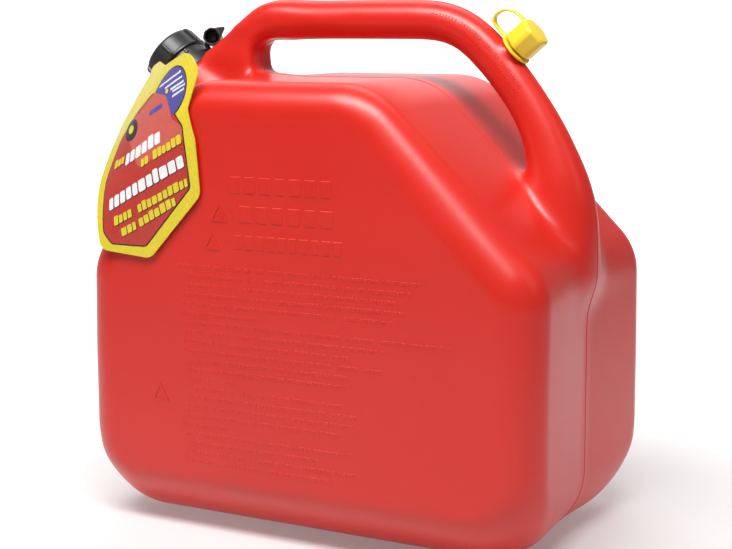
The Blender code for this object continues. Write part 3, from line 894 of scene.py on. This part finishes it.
def make_tether():
    """The loose ring under the collar, the tip cap and the strap between them."""
    bm = bmesh.new()
    ring_of(bm, [(19.6, -7.9, 0.4), (24.2, -7.9, 0.6), (24.2, 0.5, 0.7), (19.6, 0.5, 0.4)], 96)
    # Beads along both edges of the band.
    for low in (-7.6, -0.9):
        bead = [(23.6, low, 0.2), (24.45, low + 0.1, 0.25), (24.45, low + 1.0, 0.25), (23.6, low + 1.1, 0.2)]
        ring_of(bm, bead, 96)
    new_piece("tether_band", bm, BLACK, "tether", ["tether_ring"], 35, NECK_FRAME)
    bm = bmesh.new()
    points = [
        NECK_SEAT + NECK_UP * u * MM + NECK_AXIS * v * MM
        for u, v in ((23.8, -5.0), (24.7, -2.4), (25.2, 0.4), (26.0, 2.2), (27.4, 2.7), (28.9, 2.4))
    ]
    strap(bm, smooth_path(points, 5), lambda t: 0.0027 - 0.0005 * math.sin(math.pi * t), 0.0011)
    piece = new_piece("tip_strap", bm, BLACK, None, ["tip_cap_strap"], 50)
    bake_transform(piece)
    bm = bmesh.new()
    cup = [(0, 0.5, 0), (4.6, 0.5, 0.3), (5.2, 0.0, 0.3), (6.3, 0.0, 0.7), (6.3, 3.0, 0), (6.3, 9.4, 0.2)]
    cup += [(6.7, 9.9, 0.2), (6.7, 11.5, 0.4), (5.4, 11.5, 0.5), (5.2, 1.7, 0.6), (2.4, 1.7, 0.3)]
    cup += [(2.2, 4.6, 0.3), (0, 4.6, 0)]
    turned(bm, [(p.x, p.y) for p in rounded(cup, closed=False)], 96, polygon(8, 0.06))
    for k in range(8):
        rib(bm, 2 * math.pi * (k + 0.5) / 8, 1.6, 9.6, lambda h: 6.45, 0.25, 1.0)
    tab = []
    wedge = ((5.0, 4.4, 9.6, 11.3), (7.4, 3.2, 9.8, 11.2), (9.8, 1.8, 10.0, 11.1), (11.6, 0.8, 10.2, 11.0))
    for u, wide, low, high in wedge:
        low_edge, high_edge = low + 0.25, high - 0.25
        around = ((0.3 - wide, low), (wide - 0.3, low), (wide, low_edge), (wide, high_edge))
        around += ((wide - 0.3, high), (0.3 - wide, high), (-wide, high_edge), (-wide, low_edge))
        tab.append([Vector((u, a, b)) * MM for a, b in around])
    loft(bm, tab)
    cup_frame = facing(TIP_CAP_MOUTH - TIP_CAP_AXIS * 0.0115, TIP_CAP_AXIS, TIP_CAP_TAB)
    new_piece("tip_cup", bm, BLACK, "tip_cap", ["tip_cap"], 35, cup_frame)


make_tether()


# ---------------------------------------------------------------- vent cap


def make_vent():
    """The hexagonal vent cap, the ring round its nipple and the looped strap between them."""
    bm = bmesh.new()
    shape = polygon(6, 0.075)
    sides = 144
    outer = [(6.6, 6.0, 0), (10.6, 6.0, 0.4), (11.2, 6.7, 0.4)]
    outer += [(11.0, 21.9, 1.3), (9.8, 23.6, 1.4), (0, 24.0, 0)]
    rings = []
    for p in rounded(outer, closed=False, step=math.radians(12)):
        if p.x < 1e-4:
            rings.append([bm.verts.new((0, 0, p.y * MM))])
            continue
        blend = min(1.0, max(0.0, (p.x - 6.6) / 3.0))
        ring = []
        for k in range(sides):
            angle = 2 * math.pi * (k + 0.5) / sides
            r = p.x * (1 + (shape(angle) - 1) * blend)
            ring.append(bm.verts.new((r * MM * math.cos(angle), r * MM * math.sin(angle), p.y * MM)))
        rings.append(ring)
    for low, high in zip(rings, rings[1:]):
        bridge(bm, low, high)
    turned(bm, [(6.6, 6.0), (6.4, 6.6), (6.4, 19.1), (0.0, 19.1)], sides)
    bmesh.ops.remove_doubles(bm, verts=bm.verts, dist=1e-6)
    new_piece("vent_cap_shell", bm, YELLOW, "vent_cap", ["vent_cap"], 40, VENT_FRAME)
    bm = bmesh.new()
    ring_of(bm, [(6.5, 2.6, 0.3), (12.5, 2.6, 0.6), (12.5, 4.4, 0.6), (6.5, 4.4, 0.3)], 96)
    new_piece("vent_ring_band", bm, YELLOW, "vent_ring", ["vent_ring"], 40, VENT_FRAME)
    loop = ((11.6, 3.4), (14.0, 3.2), (17.4, 2.7), (21.2, 2.5), (25.2, 3.4), (27.4, 6.4))
    loop += ((27.3, 11.0), (25.0, 15.6), (20.6, 18.9), (16.0, 20.2), (12.6, 20.6), (9.6, 20.6))
    points = [VENT_SEAT + VENT_UP * u * MM + VENT_AXIS * v * MM for u, v in loop]

    def half_width(t):
        return 0.0029 + 0.0012 * (max(0.0, 1 - 6 * t) + max(0.0, 6 * t - 5))

    bm = bmesh.new()
    strap(bm, smooth_path(points, 7), half_width, 0.0008)
    piece = new_piece("vent_loop", bm, YELLOW, None, ["vent_strap"], 50)
    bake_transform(piece)


make_vent()


# ---------------------------------------------------------------- hang tag


TAG_BEND_START, TAG_BEND_END, TAG_BEND_RATE, TAG_FACE_Y = 242.0, 310.0, 0.0095, -115.0


def tag_place(s, e, lift=0.0):
    """World point of tag coordinates in mm: s along the neck's lean, e up the slope, lift off the print."""
    bent = min(max(s, TAG_BEND_START), TAG_BEND_END) - TAG_BEND_START
    y = TAG_FACE_Y + TAG_BEND_RATE * bent * bent + 2 * TAG_BEND_RATE * bent * max(0.0, s - TAG_BEND_END)
    slope = 2 * TAG_BEND_RATE * bent
    normal = (NECK_AXIS * slope - Vector((0.0, 1.0, 0.0))).normalized()
    return (NECK_AXIS * s + NECK_UP * e + Vector((0.0, y, 0.0)) + normal * lift) * MM


def tag_layer(name, outlines, look, low, high, replaced=()):
    """Flat shapes in tag coordinates, cut across the bend, given a thickness and laid on the bent card."""
    bm = bmesh.new()
    for outline in outlines:
        bm.faces.new([bm.verts.new((p[0], p[1], low)) for p in outline])
    for plane in range(205, 340, 3):
        geometry = list(bm.verts) + list(bm.edges) + list(bm.faces)
        bmesh.ops.bisect_plane(bm, geom=geometry, plane_co=(plane, 0, 0), plane_no=(1, 0, 0))
    top = bmesh.ops.extrude_face_region(bm, geom=list(bm.faces))
    for item in top["geom"]:
        if isinstance(item, bmesh.types.BMVert):
            item.co.z = high
    bmesh.ops.triangulate(bm, faces=[f for f in bm.faces if len(f.verts) > 4])
    for vert in bm.verts:
        vert.co = tag_place(vert.co.x, vert.co.y, vert.co.z)
    new_piece(name, bm, look, "tag", replaced, 40)


def ellipse(s, e, a, b, tilt=0.0, steps=40):
    """Outline about (s, e) with half axes a and b, turned by tilt degrees."""
    t = math.radians(tilt)
    points = []
    for k in range(steps):
        x, y = a * math.cos(2 * math.pi * k / steps), b * math.sin(2 * math.pi * k / steps)
        points.append((s + x * math.cos(t) - y * math.sin(t), e + x * math.sin(t) + y * math.cos(t)))
    return points


def grown(corners, amount):
    """The rounded outline moved inwards by an amount."""
    points = rounded(corners)
    moved = []
    for k, p in enumerate(points):
        before, after = points[k - 1], points[(k + 1) % len(points)]
        along = (after - before).normalized()
        moved.append(p + Vector((-along.y, along.x)) * amount)
    return moved


# Reading direction of the print and the direction across its lines, in tag coordinates.
LINE = Vector((-0.407, 0.913))
ACROSS = Vector((0.913, 0.407))


def words(draw, row, height, lean=0.28):
    """A row of slanted blocks that stands for printed words, along its middle line (s, e, s, e)."""
    start, end = Vector(row[:2]), Vector(row[2:])
    length = (end - start).length
    along = (end - start) / length
    across = Vector((-along.y, along.x)) * math.copysign(1.0, ACROSS.dot(Vector((-along.y, along.x))))
    blocks, done = [], 0.0
    while done < length - height * 0.4:
        wide = min(height * draw.uniform(0.52, 0.80), length - done)
        tall = height * draw.choice((1.0, 0.86, 0.86))
        a = start + along * done - across * height / 2
        up = (across + along * lean) * tall
        r = height * 0.14
        b = a + along * wide
        blocks.append(rounded([(*a, r), (*b, r), (*(b + up), r), (*(a + up), r)]))
        done += wide + height * 0.13
    return blocks


def make_tag():
    """The card and its generic print, laid on in thin layers."""
    card = [
        (320, 112, 22),
        (328, 140, 8),
        (329.5, 153.5, 1),
        (335, 156, 2.5),
        (327, 168.5, 10),
        (308, 181, 1.5),
        (286.5, 214, 22),
        (265, 214, 9),
        (254.5, 188, 4),
        (236, 176, 10),
        (209, 148, 10),
        (213.5, 84, 10),
        (250, 59, 10),
        (292, 84, 14),
    ]
    tag_layer("tag_card_stock", [rounded(card)], INK_YELLOW, -0.8, 0.0, replaced=["hang_tag"])
    panel = [
        (245.0, 68.5, 6),
        (257.0, 69.5, 7),
        (285.0, 91.5, 10),
        (302.0, 117, 12),
        (304.0, 141, 10),
        (298.5, 165, 10),
        (262.0, 178, 5),
        (250.0, 177.0, 6),
        (218.0, 147, 5),
        (221.0, 88, 6),
    ]
    tag_layer("tag_line", [rounded(panel)], INK_DARK, 0.0, 0.05)
    tag_layer("tag_panel", [grown(panel, 1.0)], INK_RED, 0.05, 0.10)
    tag_layer("tag_badge_line", [ellipse(279.0, 179.5, 18.0, 23.6, 13)], INK_DARK, 0.04, 0.08)
    tag_layer("tag_badge", [ellipse(279.0, 179.5, 17.1, 22.7, 13)], INK_BLUE, 0.10, 0.14)
    # A plain drawing of a can over the badge's lower edge.
    can = [(302.5, 127, 4), (298, 147, 8), (296, 166, 8), (280, 178, 7), (268, 176, 3), (261, 173, 3)]
    can += [(250, 176, 4), (243, 169, 4), (262, 127, 3), (284, 128, 3)]
    tag_layer("tag_can_drawing", [rounded(can)], INK_ROSE, 0.14, 0.17)
    gap = [(287, 156, 2), (279, 172, 2), (275, 171, 1.5), (283, 156, 2)]
    tag_layer("tag_can_gap", [rounded(gap)], INK_BLUE, 0.17, 0.20)
    tag_layer("tag_can_cap", [ellipse(294.5, 132.0, 10.4, 7.6, -32)], INK_DARK, 0.17, 0.20)
    spots = [ellipse(295.5, 131.5, 4.6, 3.0, -32), ellipse(282.0, 180.0, 2.0, 1.6)]
    tag_layer("tag_cap_spots", spots, INK_YELLOW, 0.20, 0.23)
    draw = random.Random(3)
    lines = []
    fine = [(294, 173, 281, 199), (286, 179, 276, 199), (279, 184, 272, 198)]
    fine += [(276, 185, 269, 198), (273, 183, 267, 196)]
    for row in fine:
        lines += words(draw, row, 1.7, 0.15)
    tag_layer("tag_fine_print", lines, INK_WHITE, 0.17, 0.20)
    white = words(draw, (279, 118, 260.5, 160), 9.0) + words(draw, (267, 86, 234, 161), 9.4)
    yellow = words(draw, (286.7, 105, 280.6, 118), 5.8) + words(draw, (263, 130, 259, 139.5), 6.2)
    yellow += words(draw, (257.6, 142, 245.5, 169), 6.2) + words(draw, (254, 82, 245, 101.5), 6.4)
    yellow += words(draw, (243.6, 104.5, 223.5, 148), 6.4) + words(draw, (244, 81, 238, 94), 6.4)
    yellow += words(draw, (236.6, 97, 222, 133), 6.4)
    shade = [[Vector(p) + LINE * 0.55 - ACROSS * 0.75 for p in outline] for outline in white + yellow]
    tag_layer("tag_words_shade", shade, INK_DARK, 0.10, 0.14)
    tag_layer("tag_words_white", white, INK_WHITE, 0.14, 0.19)
    tag_layer("tag_words_yellow", yellow, INK_YELLOW, 0.14, 0.19)


make_tag()


# ---------------------------------------------------------------- floor, light, camera


CAMERA_AZIMUTH = math.radians(28.3)


def make_stage():
    """A plain floor that curves up into a backdrop, square to the camera and glowing more to the back."""
    front, bend_start, bend_radius, top, half_width, bend_steps = -7.0, 1.2, 1.5, 5.0, 9.0, 12
    bm = bmesh.new()
    rows = []
    profile = [(front, 0.0), (bend_start, 0.0)]
    for k in range(1, bend_steps + 1):
        angle = math.pi / 2 * k / bend_steps
        along = bend_start + bend_radius * math.sin(angle)
        profile.append((along, bend_radius - bend_radius * math.cos(angle)))
    profile.append((bend_start + bend_radius, top))
    for along, up in profile:
        rows.append([bm.verts.new((side, along, up)) for side in (-half_width, half_width)])
    for low, high in zip(rows, rows[1:]):
        bm.faces.new((low[0], low[1], high[1], high[0]))
    mesh = bpy.data.meshes.new("studio_floor")
    bmesh.ops.recalc_face_normals(bm, faces=bm.faces)
    bm.to_mesh(mesh)
    bm.free()
    mesh.shade_smooth()
    look = Look("studio_white", (0.62, 0.62, 0.62), 0.9)
    look.shader.inputs["Emission Color"].default_value = (1.0, 1.0, 1.0, 1.0)
    axes = look.tree.nodes.new("ShaderNodeSeparateXYZ")
    look.link(look.coords, axes.inputs["Vector"])
    deep = look.spread(axes.outputs["Y"], -0.3, 1.1, 0.04, 0.95)
    aside = look.math("ABSOLUTE", axes.outputs["X"], 0.0)
    spare = look.math("SUBTRACT", aside, look.math("MULTIPLY", axes.outputs["Y"], 0.25))
    wide = look.spread(spare, 0.42, 0.95, 1.0, 0.10)
    look.link(look.math("MULTIPLY", deep, wide), look.shader.inputs["Emission Strength"])
    mesh.materials.append(look.mat)
    floor = bpy.data.objects.new("studio_floor", mesh)
    bpy.context.scene.collection.objects.link(floor)
    floor.rotation_euler.z = CAMERA_AZIMUTH


make_stage()


def area_light(name, place, target, size, power):
    """A white rectangular light at a place, turned to a target."""
    data = bpy.data.lights.new(name, "AREA")
    data.shape = "RECTANGLE"
    data.size, data.size_y = size
    data.energy = power
    lamp = bpy.data.objects.new(name, data)
    bpy.context.scene.collection.objects.link(lamp)
    lamp.location = place
    lamp.rotation_euler = (Vector(target) - Vector(place)).to_track_quat("-Z", "Y").to_euler()


def make_light():
    world = bpy.data.worlds.new("studio")
    bpy.context.scene.world = world
    world.use_nodes = True
    world.node_tree.nodes["Background"].inputs["Color"].default_value = (1.0, 1.0, 1.0, 1.0)
    world.node_tree.nodes["Background"].inputs["Strength"].default_value = 0.16
    area_light("overhead", (0.1, -0.70, 1.5), (0.0, 0.0, 0.2), (1.5, 0.5), 35)
    area_light("back_top", (0.0, 1.0, 1.9), (0.0, 0.6, 0.3), (1.6, 0.6), 5)
    area_light("rim_right", (1.5, 0.1, 1.2), (0.0, 0.0, 0.25), (0.6, 1.0), 1.5)
    bpy.context.scene.view_settings.view_transform = "Standard"


make_light()


def make_camera():
    """The camera worked out from the photo, by its direction, roll, focal length, aim and distance."""
    azimuth, elevation, roll = CAMERA_AZIMUTH, math.radians(9.35), math.radians(-0.25)
    focal_px, image_w, sensor = 1540.0, 732.0, 36.0
    level_reach = math.cos(elevation)
    back = Vector((math.sin(azimuth) * level_reach, -math.cos(azimuth) * level_reach, math.sin(elevation)))
    level = Vector((math.cos(azimuth), math.sin(azimuth), 0.0))
    upright = back.cross(level)
    right = level * math.cos(roll) + upright * math.sin(roll)
    up = upright * math.cos(roll) - level * math.sin(roll)
    data = bpy.data.cameras.new("camera")
    data.sensor_width = sensor
    data.lens = sensor * focal_px / image_w
    data.clip_start, data.clip_end = 0.05, 30.0
    cam = bpy.data.objects.new("camera", data)
    bpy.context.scene.collection.objects.link(cam)
    target, distance = Vector((-0.0008, 0.0, 0.1794)), 1.1461
    matrix = Matrix((right, up, back)).transposed().to_4x4()
    matrix.translation = target + back * distance
    cam.matrix_world = matrix
    bpy.context.scene.camera = cam


make_camera()
